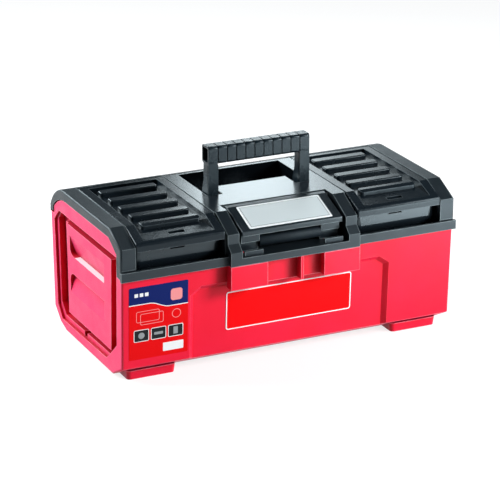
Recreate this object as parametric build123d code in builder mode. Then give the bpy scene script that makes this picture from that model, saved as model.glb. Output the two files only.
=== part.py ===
from build123d import *
import math
import os

os.makedirs("parts", exist_ok=True)

# Millimetres, +Z up, front of the box towards -Y, origin on the floor under the middle of the box.
# Outlines are given as (y, z) corners of a cross-section, seen from the right-hand end.

# Overall sizes
BAND_HALF = 195.0
LID_HALF = 194.0
BASE_HALF = 193.0
END_WALL_IN = 180.5
TOP_Z = 164.5
WALL = 2.5
SIDES = (-1, 1)
EDGE_R = 2.2
SMALL_R = 1.2
LATCH_NOSE_R = 2.0
COVER_NOSE_R = 4.5

# Base
FRONT_LOW = (-92.5, 17.0)
FRONT_TOP = (-97.0, 116.0)
REAR_TOP = (103.0, 131.2)
BASE_OUTER = [FRONT_TOP, FRONT_LOW, (-66.0, 3.0), (66.0, 3.0), (83.0, 8.0), (99.5, 22.0), REAR_TOP]
BIN_INNER = [(-94.4, 170.0), (-94.4, 116.0), (-90.0, 18.6), (-65.2, 5.5), (65.4, 5.5), (82.0, 10.4),
             (97.0, 23.2), (100.4, 131.2), (100.4, 170.0)]
PANEL_GAP = 1.2
FOOT = (53.4, 34.0)
FOOT_ROUND = 4.0
FOOT_X = 155.5
FRONT_FOOT_Y = -65.0
REAR_FOOT_Y = 61.0

# Front recess, centre catch block and labels
RECESS_HALF = 116.5
RECESS_TOP = 80.0
RECESS_CUT = (12.0, 9.0)
RECESS_DEPTH = 4.5
RECESS_TAPER = 48.0
RECESS_BACKING = [(-95.0, 99.5), (-89.1, 99.5), (-85.4, 17.0), (-85.4, 14.5), (-92.0, 18.0)]
BLOCK_FRONT = -107.3
BLOCK_BACK = -96.0
BLOCK_LOW = 90.0
BLOCK_HALF = 75.0
BLOCK_GAP_HALF = 33.0
BLOCK_RIB = (5.5, 8.5)
LABEL_SIZE = (147.0, 43.2)
LABEL_RISE = 44.3
LABEL_THICK = 0.4
STICKER_SIZE = (66.0, 81.0)
STICKER_X = -152.0
STICKER_RISE = 49.5
STICKER_THICK = 0.25

# End panels: a raised plateau in a deep channel, with two wedge-shaped finger scoops
CHANNEL = [(-84.0, 138.0), (76.0, 138.0), (87.0, 127.0), (85.0, 31.0), (73.0, 19.0), (-58.0, 21.0),
           (-80.0, 40.0)]
LEDGE = [(58.0, 138.0), (79.0, 138.0), (93.0, 125.0), (89.0, 27.0), (76.0, 13.5), (-50.0, 15.5),
         (-58.0, 21.0), (58.0, 21.0)]
PLATEAU = [(-67.0, 130.0), (65.0, 130.0), (60.5, 28.0), (-62.0, 28.0)]
CHANNEL_DEPTH = 10.2
LEDGE_DEPTH = 3.0
PLATEAU_DEPTH = 1.0
NOTCH_Y = (10.0, 18.0)
SCOOP_Y = (-46.0, 51.0)
SCOOPS = ((97.0, 124.0), (77.0, 49.0))
SCOOP_DEPTH = 8.0
SCOOP_ROUND = 9.0

# Lid
LID_REAR = 103.2
LID_FRONT = -97.5
LID_FRONT_LOW = 117.2
LID_REAR_LOW = 131.7
CHAMFER_TOP_Y = -66.5
CHAMFER_LOW_Z = 150.0
END_BAND_IN = 183.5
BAND = [(-100.9, 115.8), (-100.9, 125.7), (-97.4, 125.7), (-97.4, 117.2), (-98.4, 117.2), (-98.4, 115.8)]
BAY_X = (76.5, 177.2)
BAY_REAR = 68.6
BAY_BAND = [(-100.9, 115.8), (-100.9, 125.7), (-98.4, 125.7), (-98.4, 115.8)]
POST_X = (62.0, 75.0)
POST = [(-60.0, TOP_Z), (-68.0, TOP_Z), (-99.0, 148.5), (-99.0, 138.3), (BLOCK_FRONT, 131.0),
        (BLOCK_FRONT, 116.2), (-98.0, 116.2), (-98.0, 122.0), (-80.0, 122.0), (-80.0, 147.0), (-60.0, 158.0)]
RIM = [(BLOCK_FRONT, 116.2), (BLOCK_FRONT, 124.2), (-77.8, 124.2), (-77.8, 122.0), (-104.8, 122.0),
       (-104.8, 116.2)]
LATCH_BAY_BACK = [(-49.8, TOP_Z), (-47.6, TOP_Z), (-47.6, 153.0), (-77.8, 145.0), (-77.8, 122.0),
                  (-80.0, 122.0), (-80.0, 147.0), (-49.8, 155.0)]
CHEEK = [(-47.6, TOP_Z), (-68.0, TOP_Z), (-68.0, 149.0), (-47.6, 154.0)]
CHEEK_WALL = 2.4
GUARD_X = (36.0, 57.0)
TONGUE_X = (42.0, 53.0)
TONGUE = [(-95.0, 98.0), (-95.0, 112.0), (-85.0, 114.5), (-85.0, 132.0), (-82.0, 132.0), (-82.0, 106.0)]
PIT_HALF = 60.6
PIT_Y = (8.4, 62.0)
PIT_FLOOR = 144.0
LEG_SLOT_X = (43.0, 60.6)
LEG_SLOT_FRONT = -17.6

# Organisers
WELL_X = (75.0, 179.2)
WELL_Z = (136.0, 138.2)
BELLY = -88.0
BELLY_END = 9.5
BELLY_SLOT_Z = (139.6, 141.2)
GROOVE_SHELF = [(-98.4, 117.4), (-98.4, 119.8), (-77.0, 119.8), (-77.0, 117.4)]
BELLY_MID = BELLY + BELLY_END + 0.3
WELL_FLOOR = [(BELLY_MID, WELL_Z[0]), (BELLY_MID, WELL_Z[1]), (69.0, WELL_Z[1]), (69.0, 158.8),
              (71.4, 158.8), (71.4, WELL_Z[0])]
WELL_WALL = [(71.0, WELL_Z[0]), (71.0, 158.8), (64.0, 161.9), (-65.0, 161.9), (-94.9, 148.6), (-94.9, 118.4),
             (-77.0, 118.4), (-77.0, WELL_Z[0])]

# Lid hinge
HINGE_Y = 102.5
HINGE_Z = 136.5
KNUCKLE_R = 4.8
HINGE_PIN_R = 1.5
PIN_CLEARANCE = 0.05
LID_KNUCKLES = ((148.0, 160.0), (178.0, 190.0))
BASE_KNUCKLE = (160.5, 177.5)

# Organiser covers
COVER_X = (77.3, 176.4)
COVER_HINGE = (63.5, 160.0)
COVER_BARREL_R = 4.5
TRUNNION_R = 1.75
COVER_PROFILE = [(63.5, TOP_Z), (-68.0, TOP_Z), (-98.0, 153.5), (-98.0, 145.0), (-95.2, 145.0),
                 (-95.2, 147.2), (-66.4, 156.5), (63.5, 155.5)]
COVER_RECESS = [(59.0, 175.0), (59.0, 159.5), (-70.0, 159.5), (-93.0, 155.3), (-93.0, 175.0)]
COVER_RECESS_HALF = 39.5
COVER_SLOT_Y = (-88.0, -83.0)
BAR = (65.5, 12.0)
BAR_FOOT_Z = 156.5
BAR_TOP_R = 1.6
BAR_COUNT = 5
BAR_FIRST_Y = 44.5
BAR_PITCH = 27.9

# Handle
HANDLE_HALF = 59.5
LEG_X = (48.0, HANDLE_HALF)
HANDLE_PIVOT = (-10.0, 156.0)
LEG_R = 7.2
GRIP_Y = (-17.2, -0.6)
GRIP_Z = (198.0, 217.8)
LEG_PROFILE = [(-17.2, 156.0), (-17.2, 200.0), (-4.2, 200.0), (-4.2, 178.0), (0.0, 166.0), (0.0, 161.0),
               (-2.8, 156.0)]
GROOVES = 10
LEG_GROOVE_Y = (-16.2, -15.0)
LEG_GROOVE_Z = (160.0, 197.5)
LEG_GROOVE_DEPTH = 1.0
GROOVE_WIDTH = 1.2

# Latch
LATCH_PIVOT = (-54.5, 160.3)
LATCH_BARREL_R = 4.2
LATCH_HALF = 58.2
PADDLE = [(-54.5, TOP_Z), (-59.5, 164.0), (-98.5, 149.4), (-98.5, 144.2), (-94.8, 144.2), (-94.8, 147.2),
          (-60.0, 159.8), (-54.5, 160.3)]
HOOK = [(-89.4, 140.0), (-89.4, 124.8), (-86.0, 124.8), (-86.0, 127.5), (-87.5, 129.0), (-87.5, 140.0)]
HOOK_ROOT_Y = (-93.0, -86.5)
HOOK_ROOT_Z = (135.0, 149.0)
BAR_CENTRE = (-87.5, 133.5)
BAR_R = 6.5
PLATE_HALF = 48.0
PLATE_RUN = (1.5, 38.5)
PLATE_THICK = 1.2

# Tray
TRAY_HALF = 175.0
TRAY_Y = (-76.0, 92.0)
TRAY_Z = (68.2, 108.0)
TRAY_WALL = 2.0
TRAY_DIVIDER_X = 60.0
TRAY_SLOT = 1.0
TRAY_MID_Y = 8.0
TRAY_HANDLE_HALF = 62.0
TRAY_HANDLE_TOP = 120.0


def span(side, near, far):
    """Return the left and right x of a feature that is repeated on both sides of the box."""
    return (near, far) if side > 0 else (-far, -near)


def side_face(x, outline, island=None):
    """Make a cross-section at x from its (y, z) corners, with an optional island left out."""
    with BuildSketch(Plane.YZ.offset(x)) as face:
        with BuildLine():
            Polyline(*outline, close=True)
        make_face()
        if island:
            with BuildLine():
                Polyline(*island, close=True)
            make_face(mode=Mode.SUBTRACT)
    return face.sketch


def disc(x, centre, radius):
    """Make a round cross-section at x."""
    with BuildSketch(Plane.YZ.offset(x)) as face:
        with Locations(centre):
            Circle(radius)
    return face.sketch


def rod(x, centre, radius, mode=Mode.ADD):
    """Add or cut a round bar that runs along X between two x values."""
    extrude(disc(x[0], centre, radius), amount=x[1] - x[0], mode=mode)


def block(x, y, z, mode=Mode.ADD):
    """Add or cut a box between pairs of x, y and z values."""
    with Locations(((x[0] + x[1]) / 2, (y[0] + y[1]) / 2, (z[0] + z[1]) / 2)):
        Box(x[1] - x[0], y[1] - y[0], z[1] - z[0], mode=mode)


def soften(plate, rear_y, low_z, front_y, nose):
    """Round the nose of a lipped plate, then its two upper side edges and the ends of its lip."""
    front = plate.edges().filter_by(Axis.X).filter_by(lambda e: e.center().Y < front_y)
    fillet(front.sort_by(Axis.Z)[-1], radius=nose)
    across = plate.edges().filter_by(Axis.X, reverse=True)
    upper = across.filter_by(lambda e: e.center().Z > low_z and e.center().Y < rear_y)
    lip = across.filter_by(lambda e: e.center().Y < front_y and e.center().Z <= low_z)
    fillet(upper + lip, radius=SMALL_R)


def wall_plane(inset, rise):
    """Plane on the leaning front wall, sunk by inset, at a distance rise up the wall."""
    lean = math.atan2(FRONT_LOW[0] - FRONT_TOP[0], FRONT_TOP[1] - FRONT_LOW[1])
    up = (-math.sin(lean), math.cos(lean))
    out = (-math.cos(lean), -math.sin(lean))
    y = FRONT_LOW[0] + up[0] * rise - out[0] * inset
    z = FRONT_LOW[1] + up[1] * rise - out[1] * inset
    return Plane(origin=(0, y, z), x_dir=(1, 0, 0), z_dir=(0, *out))


def end_opening(x, gap, low):
    """Arched opening of the lid's end band, made smaller by gap for the end panel that fills it."""
    rear = 93.6 - gap
    front = -86.2 + gap
    top = 154.3 - gap
    with BuildSketch(Plane.YZ.offset(x)) as opening:
        with BuildLine():
            Polyline((rear, low), (rear, 139.8 - gap))
            ThreePointArc((rear, 139.8 - gap), (81.0 - gap / 2, 149.0 - gap), (61.0, top))
            Polyline((61.0, top), (-65.5, top), (front, 142.0 - gap / 2), (front, low), (rear, low))
        make_face()
    return opening.sketch


def lid_section(x, inset, drop):
    """Outer cross-section of the lid, drawn in by inset, with its open underside lowered by drop."""
    rear = LID_REAR - inset
    top = TOP_Z - inset
    front = LID_FRONT + inset
    with BuildSketch(Plane.YZ.offset(x)) as section:
        with BuildLine():
            Polyline((rear, LID_REAR_LOW - drop), (rear, 139.0))
            ThreePointArc((rear, 139.0), (92.2 - 0.7 * inset, 153.0 - 0.7 * inset), (64.5, top))
            Polyline((64.5, top), (CHAMFER_TOP_Y + 0.2 * inset, top), (front, CHAMFER_LOW_Z - 0.5 * inset),
                     (front, LID_FRONT_LOW - drop), (rear, LID_REAR_LOW - drop))
        make_face()
    return section.sketch


def belly_section(x):
    """Rolled front wall of an organiser well, from its top edge down to the groove floor."""
    with BuildSketch(Plane.YZ.offset(x)) as section:
        with BuildLine():
            Polyline((-78.4, 119.0), (-81.0, 119.0), (-81.0, 119.8))
            ThreePointArc((-81.0, 119.8), (-85.6, 124.6), (BELLY, 131.0))
            Polyline((BELLY, 131.0), (BELLY, 147.0), (-85.6, 147.0), (-85.6, 131.0))
            ThreePointArc((-85.6, 131.0), (-83.3, 125.0), (-78.4, 119.0))
        make_face()
    return section.sketch


def pit_outline(z, margin):
    """U-shaped outline of the handle pit, with a slot for each leg, grown by margin."""
    mid_y = (PIT_Y[0] + PIT_Y[1]) / 2
    slot_y = (LEG_SLOT_FRONT + PIT_Y[1]) / 2
    slot_x = (LEG_SLOT_X[0] + LEG_SLOT_X[1]) / 2
    slot_width = LEG_SLOT_X[1] - LEG_SLOT_X[0] + 2 * margin
    with BuildSketch(Plane.XY.offset(z)) as outline:
        with Locations((0, mid_y)):
            Rectangle(2 * PIT_HALF + 2 * margin, PIT_Y[1] - PIT_Y[0] + 2 * margin)
        with Locations((-slot_x, slot_y), (slot_x, slot_y)):
            Rectangle(slot_width, PIT_Y[1] - LEG_SLOT_FRONT + 2 * margin)
    return outline.sketch


def scoop_face(side, deep_z, shallow_z, margin):
    """Triangle of a finger scoop, seen from the front, grown by margin."""
    down = math.copysign(margin, shallow_z - deep_z)
    face_x = BASE_HALF + 0.5
    with BuildSketch(Plane.XZ.offset(-SCOOP_Y[1] - margin)) as face:
        with BuildLine():
            Polyline((side * face_x, shallow_z + 2 * down), (side * face_x, deep_z - down),
                     (side * (face_x - SCOOP_DEPTH - margin), deep_z - down), close=True)
        make_face()
    return face.sketch


# Finger scoops, cut into the end panels
with BuildPart() as finger_scoops:
    for side in SIDES:
        for deep_z, shallow_z in SCOOPS:
            extrude(scoop_face(side, deep_z, shallow_z, 0.0), amount=SCOOP_Y[1] - SCOOP_Y[0])
    fillet(finger_scoops.edges().filter_by(Axis.X).group_by(Axis.Y)[-1], radius=SCOOP_ROUND)

# Hollows behind the plateaus, which keep the end panels an even thickness
with BuildPart() as plateau_hollows:
    for side in SIDES:
        block(span(side, END_WALL_IN - 1.0, BASE_HALF - PLATEAU_DEPTH - WALL), (-59.0, 57.5), (30.5, 127.5))
        for deep_z, shallow_z in SCOOPS:
            length = SCOOP_Y[1] - SCOOP_Y[0] + 2 * WALL
            extrude(scoop_face(side, deep_z, shallow_z, WALL), amount=length, mode=Mode.SUBTRACT)

# Base: the red bin
with BuildPart() as base:
    extrude(side_face(-BASE_HALF, BASE_OUTER), amount=2 * BASE_HALF)
    fillet(base.faces().filter_by(Axis.X).edges().sort_by(Axis.Z)[:-2], radius=EDGE_R)
    for side in SIDES:
        x = span(side, END_WALL_IN, BASE_HALF)
        extrude(end_opening(x[0], PANEL_GAP, 110.0), amount=x[1] - x[0])
        for foot_y in (FRONT_FOOT_Y, REAR_FOOT_Y):
            with BuildSketch(Plane.XY) as foot:
                with Locations((side * FOOT_X, foot_y)):
                    RectangleRounded(*FOOT, FOOT_ROUND)
            extrude(amount=10.0, taper=-8.0)
    block((-BLOCK_HALF, BLOCK_HALF), (BLOCK_FRONT, BLOCK_BACK), (BLOCK_LOW, 115.8))
    extrude(side_face(-END_WALL_IN, BIN_INNER), amount=2 * END_WALL_IN, mode=Mode.SUBTRACT)
    # Wall behind the front recess, then the recess itself
    extrude(side_face(-RECESS_HALF - 3.5, RECESS_BACKING), amount=2 * RECESS_HALF + 7.0)
    cut_x, cut_z = RECESS_CUT
    with BuildSketch(wall_plane(0.0, 0.0)) as recess:
        with BuildLine():
            Polyline((-RECESS_HALF, -20.0), (RECESS_HALF, -20.0), (RECESS_HALF, RECESS_TOP - cut_z),
                     (RECESS_HALF - cut_x, RECESS_TOP), (cut_x - RECESS_HALF, RECESS_TOP),
                     (-RECESS_HALF, RECESS_TOP - cut_z), close=True)
        make_face()
    extrude(amount=-RECESS_DEPTH, taper=RECESS_TAPER, mode=Mode.SUBTRACT)
    # The catch block is open between its two halves, but for one rib, and hollow from above
    for x in ((-BLOCK_GAP_HALF, BLOCK_RIB[0]), (BLOCK_RIB[1], BLOCK_GAP_HALF)):
        block(x, (BLOCK_FRONT - 1.0, -97.2), (BLOCK_LOW - 1.0, 117.0), mode=Mode.SUBTRACT)
    for side in SIDES:
        block(span(side, BLOCK_GAP_HALF + 2.5, BLOCK_HALF - 2.5), (BLOCK_FRONT + 2.5, -99.4),
              (BLOCK_LOW + 2.5, 117.0), mode=Mode.SUBTRACT)
        # Catch tongue for the latch hook, and the ledge that carries the tray
        tongue = span(side, *TONGUE_X)
        extrude(side_face(tongue[0], TONGUE), amount=tongue[1] - tongue[0])
        block(span(side, 171.0, END_WALL_IN + 0.5), (-60.0, 75.0), (62.0, 68.0))
        # End panel
        face_x = side * BASE_HALF
        extrude(side_face(face_x, CHANNEL, PLATEAU), amount=-side * CHANNEL_DEPTH, mode=Mode.SUBTRACT)
        extrude(side_face(face_x, LEDGE), amount=-side * LEDGE_DEPTH, mode=Mode.SUBTRACT)
        extrude(side_face(face_x, PLATEAU), amount=-side * PLATEAU_DEPTH, mode=Mode.SUBTRACT)
        block(span(side, BASE_HALF - CHANNEL_DEPTH, BASE_HALF), NOTCH_Y, (14.5, 24.0), mode=Mode.SUBTRACT)
        # Hinge knuckle on its web
        knuckle = span(side, *BASE_KNUCKLE)
        block(knuckle, (98.4, REAR_TOP[0]), (124.0, HINGE_Z))
        rod(knuckle, (HINGE_Y, HINGE_Z), KNUCKLE_R)
        rod(knuckle, (HINGE_Y, HINGE_Z), HINGE_PIN_R + PIN_CLEARANCE, mode=Mode.SUBTRACT)
    add(plateau_hollows.part, mode=Mode.SUBTRACT)
    add(finger_scoops.part, mode=Mode.SUBTRACT)
base.part.label = "base"
export_step(base.part, "parts/base.step")

# Lid: outer skin with end bands, two organiser bays, handle pit and latch bay
with BuildPart() as lid:
    extrude(lid_section(-LID_HALF, 0.0, 0.0), amount=2 * LID_HALF)
    fillet(lid.faces().filter_by(Axis.X).edges().sort_by(Axis.Z)[2:], radius=EDGE_R)
    extrude(lid_section(-END_BAND_IN, WALL, 20.0), amount=2 * END_BAND_IN, mode=Mode.SUBTRACT)
    for side in SIDES:
        x = span(side, END_BAND_IN - 1.0, LID_HALF + 1.0)
        extrude(end_opening(x[0], 0.0, 90.0), amount=x[1] - x[0], mode=Mode.SUBTRACT)
        block(span(side, 176.0, LID_HALF + 1.0), (90.0, LID_REAR - WALL), (120.0, 133.8), mode=Mode.SUBTRACT)
        block(span(side, *BAY_X), (-120.0, BAY_REAR), (100.0, 180.0), mode=Mode.SUBTRACT)
    block((-BAY_X[0], BAY_X[0]), (-120.0, -67.9), (100.0, 180.0), mode=Mode.SUBTRACT)
    block((-POST_X[0], POST_X[0]), (-120.0, -49.8), (100.0, 180.0), mode=Mode.SUBTRACT)
    for side in SIDES:
        # Front band, with a thin groove over it at the end, and the post beside the latch
        block(span(side, BAY_X[1], BAND_HALF), (-98.5, -96.6), (125.7, 126.9), mode=Mode.SUBTRACT)
        for near, far, outline in ((POST_X[1] - 1.0, BAY_X[1], BAY_BAND), (BAY_X[1], BAND_HALF, BAND)):
            band = span(side, near, far)
            extrude(side_face(band[0], outline), amount=far - near)
        post = span(side, *POST_X)
        extrude(side_face(post[0], POST), amount=post[1] - post[0])
        cheek = span(side, POST_X[0], POST_X[0] + CHEEK_WALL)
        extrude(side_face(cheek[0], CHEEK), amount=CHEEK_WALL)
        block(span(side, *GUARD_X), (-102.5, -99.5), (124.0, 129.0))
    extrude(side_face(-POST_X[0], RIM), amount=2 * POST_X[0])
    extrude(side_face(-POST_X[0] - 2.0, LATCH_BAY_BACK), amount=2 * POST_X[0] + 4.0)
    extrude(pit_outline(PIT_FLOOR - WALL, WALL), amount=TOP_Z - PIT_FLOOR + WALL)
    extrude(pit_outline(PIT_FLOOR, 0.0), amount=TOP_Z, mode=Mode.SUBTRACT)
    for side in SIDES:
        tongue_slot = span(side, TONGUE_X[0] - 1.0, TONGUE_X[1] + 1.0)
        block(tongue_slot, (-92.5, -81.0), (120.0, 125.0), mode=Mode.SUBTRACT)
        rod(span(side, *BASE_KNUCKLE), (HINGE_Y, HINGE_Z), KNUCKLE_R + 0.8, mode=Mode.SUBTRACT)
        for near, far in LID_KNUCKLES:
            rod(span(side, near, far), (HINGE_Y, HINGE_Z), KNUCKLE_R)
        rod(span(side, 147.0, 195.0), (HINGE_Y, HINGE_Z), HINGE_PIN_R + PIN_CLEARANCE, mode=Mode.SUBTRACT)
        rod(span(side, 40.0, 64.0), HANDLE_PIVOT, 2.0 + PIN_CLEARANCE, mode=Mode.SUBTRACT)
        rod(span(side, POST_X[0] - 1.0, 67.0), LATCH_PIVOT, HINGE_PIN_R + PIN_CLEARANCE, mode=Mode.SUBTRACT)
lid.part.label = "lid"
export_step(lid.part, "parts/lid.step")

# Organisers: a well under each cover, with a finger groove below its rolled front wall
for side, name in ((-1, "organiser_left"), (1, "organiser_right")):
    well = span(side, *WELL_X)
    groove = span(side, WELL_X[0], BAY_X[1])
    belly = span(side, BAY_X[0] + BELLY_END, BAY_X[1] - BELLY_END)
    with BuildPart() as organiser:
        extrude(side_face(well[0], WELL_FLOOR), amount=well[1] - well[0])
        extrude(side_face(groove[0], GROOVE_SHELF), amount=groove[1] - groove[0])
        extrude(belly_section(belly[0]), amount=belly[1] - belly[0])
        for end, turn in ((belly[0], -90.0), (belly[1], 90.0)):
            revolve(belly_section(end), axis=Axis((end, BELLY_MID, 0), (0, 0, 1)), revolution_arc=turn)
        with BuildSketch(Plane.XY.offset(WELL_Z[0])):
            with Locations(((belly[0] + belly[1]) / 2, BELLY_MID)):
                SlotCenterToCenter(belly[1] - belly[0], 2 * BELLY_END - 2.0)
        extrude(amount=WELL_Z[1] - WELL_Z[0])
        # Side walls with the trunnion holes, and a stop behind each rounded end of the front wall
        for near, far in ((WELL_X[0], BAY_X[0] + BELLY_END), (BAY_X[1] - BELLY_END, BAY_X[1])):
            block(span(side, near, far), (-79.0, -77.0), (118.4, WELL_Z[1]))
        for near, far in ((WELL_X[0], BAY_X[0]), (BAY_X[1], WELL_X[1])):
            wall = span(side, near, far)
            extrude(side_face(wall[0], WELL_WALL), amount=far - near)
            rod((wall[0] - 0.1, wall[1] + 0.1), COVER_HINGE, TRUNNION_R + PIN_CLEARANCE, mode=Mode.SUBTRACT)
        slot_x = (BAY_X[0] + BAY_X[1]) / 2
        block(span(side, slot_x - 8.0, slot_x + 8.0), (BELLY - 1.0, -85.0), BELLY_SLOT_Z, mode=Mode.SUBTRACT)
    organiser.part.label = name
    export_step(organiser.part, f"parts/{name}.step")

# Bars of an organiser cover, with rounded tops
with BuildPart() as bars:
    with BuildSketch(Plane.XY.offset(BAR_FOOT_Z)):
        for bar in range(BAR_COUNT):
            with Locations((0, BAR_FIRST_Y - bar * BAR_PITCH)):
                RectangleRounded(*BAR, 3.0)
    extrude(amount=TOP_Z - BAR_FOOT_Z)
    fillet(bars.edges().group_by(Axis.Z)[-1], radius=BAR_TOP_R)

# Organiser covers: five bars stand in a recess that runs out on the front slope
for side, name in ((-1, "cover_left"), (1, "cover_right")):
    cover_x = span(side, *COVER_X)
    centre_x = (cover_x[0] + cover_x[1]) / 2
    with BuildPart() as cover:
        extrude(side_face(cover_x[0], COVER_PROFILE), amount=cover_x[1] - cover_x[0])
        soften(cover, 60.0, 158.0, -97.2, COVER_NOSE_R)
        rod(cover_x, COVER_HINGE, COVER_BARREL_R)
        recess_x = centre_x - COVER_RECESS_HALF
        extrude(side_face(recess_x, COVER_RECESS), amount=2 * COVER_RECESS_HALF, mode=Mode.SUBTRACT)
        with Locations((centre_x, 0, 0)):
            add(bars.part)
        extrude(side_face(cover_x[0], [(-68.0, TOP_Z), (-98.0, 153.5), (-98.0, 180.0), (-68.0, 180.0)]),
                amount=cover_x[1] - cover_x[0], mode=Mode.SUBTRACT)
        block((centre_x - 9.0, centre_x + 9.0), COVER_SLOT_Y, (140.0, 170.0), mode=Mode.SUBTRACT)
        rod((cover_x[0] - 2.6, cover_x[1] + 2.6), COVER_HINGE, TRUNNION_R)
    cover.part.label = name
    export_step(cover.part, f"parts/{name}.step")

# Handle: hollow ribbed grip on two legs with rounded feet
with BuildPart() as handle:
    grip_centre = ((GRIP_Y[0] + GRIP_Y[1]) / 2, (GRIP_Z[0] + GRIP_Z[1]) / 2)
    grip_size = (GRIP_Y[1] - GRIP_Y[0], GRIP_Z[1] - GRIP_Z[0])
    with BuildSketch(Plane.YZ.offset(-HANDLE_HALF)):
        with Locations(grip_centre):
            RectangleRounded(*grip_size, 3.0)
    extrude(amount=2 * HANDLE_HALF)
    for side in SIDES:
        leg = span(side, *LEG_X)
        extrude(side_face(leg[0], LEG_PROFILE), amount=leg[1] - leg[0])
        rod(leg, HANDLE_PIVOT, LEG_R)
        rod(leg, HANDLE_PIVOT, 2.0 + PIN_CLEARANCE, mode=Mode.SUBTRACT)
        # Fine groove down both flanks of the leg, just behind its front face
        for x in ((leg[0], leg[0] + LEG_GROOVE_DEPTH), (leg[1] - LEG_GROOVE_DEPTH, leg[1])):
            block(x, LEG_GROOVE_Y, LEG_GROOVE_Z, mode=Mode.SUBTRACT)
    with BuildSketch(Plane.YZ.offset(-HANDLE_HALF)):
        with Locations(grip_centre):
            RectangleRounded(grip_size[0] - 4.0, grip_size[1] - 4.4, 1.5)
    extrude(amount=2 * HANDLE_HALF, mode=Mode.SUBTRACT)
    pitch = 2 * LEG_X[0] / (GROOVES - 1)
    for groove in range(GROOVES):
        with BuildSketch(Plane.YZ.offset(-LEG_X[0] + groove * pitch - GROOVE_WIDTH / 2)):
            with Locations(grip_centre):
                Rectangle(grip_size[0] + 2.0, grip_size[1] + 2.0)
                RectangleRounded(grip_size[0] - 2.0, grip_size[1] - 2.0, 2.2, mode=Mode.SUBTRACT)
        extrude(amount=GROOVE_WIDTH, mode=Mode.SUBTRACT)
handle.part.label = "handle"
export_step(handle.part, "parts/handle.step")

# Latch paddle: barrel at its rear edge, lip at its front edge and two hook legs below
slope = math.atan2(PADDLE[1][1] - PADDLE[2][1], PADDLE[1][0] - PADDLE[2][0])
plate_plane = Plane(origin=(0, *PADDLE[1]), x_dir=(1, 0, 0), z_dir=(0, -math.sin(slope), math.cos(slope)))
plate_mid = -(PLATE_RUN[0] + PLATE_RUN[1]) / 2
plate_size = (2 * PLATE_HALF, PLATE_RUN[1] - PLATE_RUN[0])
with BuildPart() as latch:
    extrude(side_face(-LATCH_HALF, PADDLE), amount=2 * LATCH_HALF)
    soften(latch, -58.0, 154.0, -97.7, LATCH_NOSE_R)
    rod((-LATCH_HALF, LATCH_HALF), LATCH_PIVOT, LATCH_BARREL_R)
    for side in SIDES:
        block(span(side, *GUARD_X), HOOK_ROOT_Y, HOOK_ROOT_Z)
        hook = span(side, *GUARD_X)
        extrude(side_face(hook[0], HOOK), amount=hook[1] - hook[0])
    block((-12.0, 12.0), (-60.0, -49.0), (155.0, 163.2), mode=Mode.SUBTRACT)
    rod((-LATCH_HALF, LATCH_HALF), LATCH_PIVOT, HINGE_PIN_R + PIN_CLEARANCE, mode=Mode.SUBTRACT)
    with BuildSketch(plate_plane):
        with Locations((0, plate_mid)):
            Rectangle(*plate_size)
    extrude(amount=-PLATE_THICK / 2, mode=Mode.SUBTRACT)
latch.part.label = "latch"
export_step(latch.part, "parts/latch.step")

# Bright plate let into the paddle, with a bevelled edge
with BuildPart() as latch_plate:
    with BuildSketch(plate_plane.offset(-PLATE_THICK / 2)):
        with Locations((0, plate_mid)):
            Rectangle(*plate_size)
    extrude(amount=PLATE_THICK)
    chamfer(latch_plate.faces().sort_by(Axis((0, 0, 0), plate_plane.z_dir))[-1].edges(), length=0.5)
latch_plate.part.label = "latch_plate"
export_step(latch_plate.part, "parts/latch_plate.step")

# Round finger bar between the hook legs
with BuildPart() as latch_bar:
    rod((-GUARD_X[0], GUARD_X[0]), BAR_CENTRE, BAR_R)
latch_bar.part.label = "latch_bar"
export_step(latch_bar.part, "parts/latch_bar.step")

# Latch pivot pin
with BuildPart() as latch_pin:
    rod((-66.5, 66.5), LATCH_PIVOT, HINGE_PIN_R)
latch_pin.part.label = "latch_pin"
export_step(latch_pin.part, "parts/latch_pin.step")

# Torsion spring round the latch pin, each half turn an arc, with straight ends
SPRING_TURNS = 6
SPRING_PITCH = 2.2
SPRING_R = 2.2
WIRE_R = 0.45


def spring_point(half_turns):
    """Point on the spring's centre line after a number of half turns."""
    angle = math.pi * half_turns
    x = SPRING_PITCH * (half_turns / 2 - SPRING_TURNS / 2)
    return (x, LATCH_PIVOT[0] + SPRING_R * math.cos(angle), LATCH_PIVOT[1] + SPRING_R * math.sin(angle))


with BuildPart() as latch_spring:
    with BuildLine() as coil:
        for half in range(2 * SPRING_TURNS):
            ThreePointArc(spring_point(half), spring_point(half + 0.5), spring_point(half + 1))
    with BuildSketch(Plane(origin=coil.line @ 0, z_dir=coil.line % 0)):
        Circle(WIRE_R)
    sweep()
latch_spring.part.label = "latch_spring"
export_step(latch_spring.part, "parts/latch_spring.step")
print("spring: gap between turns", round(SPRING_PITCH - 2 * WIRE_R, 2))

# Pivot pins of the handle and of the lid hinges
for side, word in ((-1, "left"), (1, "right")):
    with BuildPart() as handle_pin:
        rod(span(side, 41.0, 63.0), HANDLE_PIVOT, 2.0)
    handle_pin.part.label = f"handle_pin_{word}"
    export_step(handle_pin.part, f"parts/handle_pin_{word}.step")
    with BuildPart() as hinge_pin:
        rod(span(side, LID_KNUCKLES[0][0], LID_KNUCKLES[1][1]), (HINGE_Y, HINGE_Z), HINGE_PIN_R)
    hinge_pin.part.label = f"hinge_pin_{word}"
    export_step(hinge_pin.part, f"parts/hinge_pin_{word}.step")

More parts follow.
